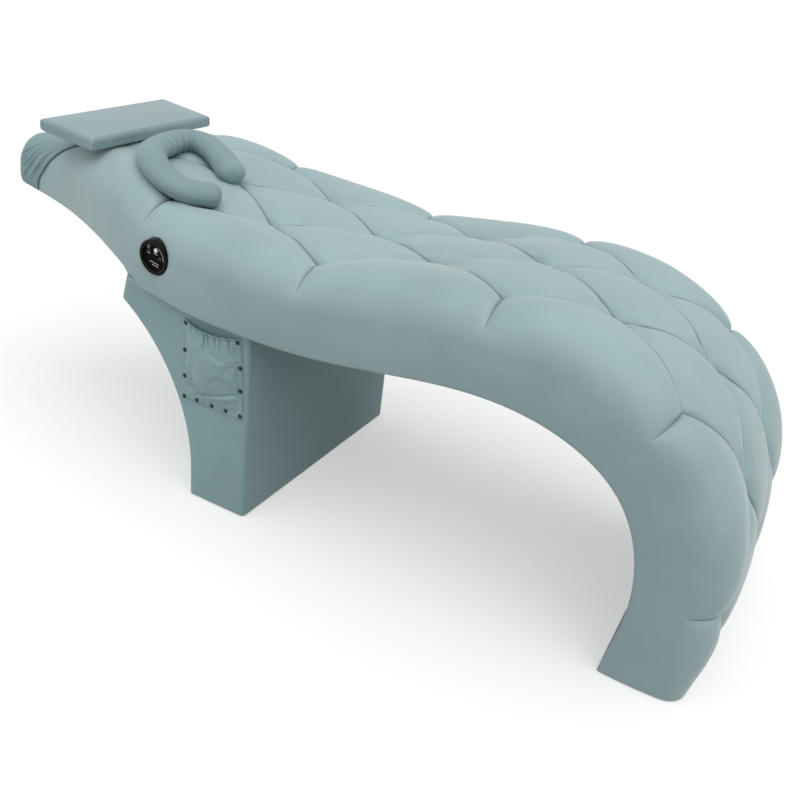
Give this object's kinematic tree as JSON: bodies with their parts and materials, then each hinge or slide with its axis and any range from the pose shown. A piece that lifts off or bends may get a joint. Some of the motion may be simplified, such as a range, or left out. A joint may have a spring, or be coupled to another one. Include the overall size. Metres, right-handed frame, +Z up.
{
  "type": "eyelash extension bed",
  "caption": "Treatment bed with a tufted S-shaped padded body on a flared pedestal, with a head pillow, a neck pillow, a side control and a storage pocket.",
  "frame": {"origin": "middle of the footprint on the floor", "axes": "+X along the bed towards the foot, +Z up, -Y towards the side with the control and the pocket"},
  "size_m": [1.8793, 0.6702, 0.7496],
  "materials": {
    "body_leatherette": "matte, soft grained",
    "pedestal_leatherette": "matte, soft grained",
    "pillow_leatherette": "matte, soft grained",
    "hood_cloth": "matte, soft grained",
    "neck_pillow_cloth": "matte, soft grained",
    "pocket_cloth": "matte, soft grained",
    "pocket_elastic": "matte",
    "foam": "matte",
    "birch_ply": "sawn",
    "pine_rail": "sawn",
    "hardboard": "cloth faced",
    "zinc_steel": "zinc plated",
    "glide_nylon": "moulded",
    "stud_metal": "dark lacquer",
    "control_gloss": "gloss",
    "control_face": "satin",
    "control_housing": "moulded",
    "circuit_board": "lacquer",
    "white_key": "satin",
    "black_key": "satin",
    "motor_case": "satin",
    "inlet_plastic": "moulded"
  },
  "bodies": {
    "bed": {"calf_rail": "pine_rail", "control_bezel": "control_gloss", "control_board": "circuit_board", "control_face": "control_face", "control_housing": "control_housing", "deck_board": "birch_ply", "foot_glide_1": "glide_nylon", "foot_glide_2": "glide_nylon", "foot_rail": "pine_rail", "frame_side_far": "birch_ply", "frame_side_near": "birch_ply", "head_rail": "pine_rail", "hip_rail": "pine_rail", "knee_rail": "pine_rail", "motor_back": "motor_case", "motor_hip": "motor_case", "motor_leg": "motor_case", "neck_rail": "pine_rail", "pedestal_base_board": "birch_ply", "pedestal_bolt_1": "zinc_steel", "pedestal_bolt_2": "zinc_steel", "pedestal_bolt_3": "zinc_steel", "pedestal_bolt_4": "zinc_steel", "pedestal_cover": "pedestal_leatherette", "pedestal_foot_panel": "birch_ply", "pedestal_foot_rail": "pine_rail", "pedestal_glide_1": "glide_nylon", "pedestal_glide_2": "glide_nylon", "pedestal_glide_3": "glide_nylon", "pedestal_glide_4": "glide_nylon", "pedestal_head_panel": "birch_ply", "pedestal_head_rail": "pine_rail", "pedestal_side_far": "birch_ply", "pedestal_side_near": "birch_ply", "pedestal_top_board": "birch_ply", "pocket_elastic": "pocket_elastic", "pocket_stud_01": "stud_metal", "pocket_stud_02": "stud_metal", "pocket_stud_03": "stud_metal", "pocket_stud_04": "stud_metal", "pocket_stud_05": "stud_metal", "pocket_stud_06": "stud_metal", "pocket_stud_07": "stud_metal", "pocket_stud_08": "stud_metal", "pocket_stud_09": "stud_metal", "pocket_stud_10": "stud_metal", "pocket_stud_11": "stud_metal", "power_inlet": "inlet_plastic", "quilted_cover": "body_leatherette", "storage_pocket": "pocket_cloth", "top_foam": "foam", "underside_panel": "hardboard"},
    "head_rest": {"head_pillow": "pillow_leatherette", "head_hood": "hood_cloth"},
    "neck_roll": {"neck_pillow": "neck_pillow_cloth"},
    "power_key": {"power_button": "white_key"},
    "heat_key": {"heat_button": "black_key"},
    "mode_key": {"mode_button": "black_key"}
  },
  "joints": [
    {"name": "head_rest_pull_off", "type": "slide", "parent": "bed", "child": "head_rest", "axis": [-0.9659, 0, 0.2588], "range_m": [0, 0.35]},
    {"name": "neck_roll_lift_off", "type": "slide", "parent": "bed", "child": "neck_roll", "axis": [0, 0, 1], "range_m": [0, 0.25]},
    {"name": "power_press", "type": "slide", "parent": "bed", "child": "power_key", "axis": [0.0104, 0.9986, 0.0513], "range_m": [0, 0.001], "stiffness_N_per_m": 1500},
    {"name": "heat_press", "type": "slide", "parent": "bed", "child": "heat_key", "axis": [0.0104, 0.9986, 0.0513], "range_m": [0, 0.001], "stiffness_N_per_m": 1500},
    {"name": "mode_press", "type": "slide", "parent": "bed", "child": "mode_key", "axis": [0.0104, 0.9986, 0.0513], "range_m": [0, 0.001], "stiffness_N_per_m": 1500}
  ]
}
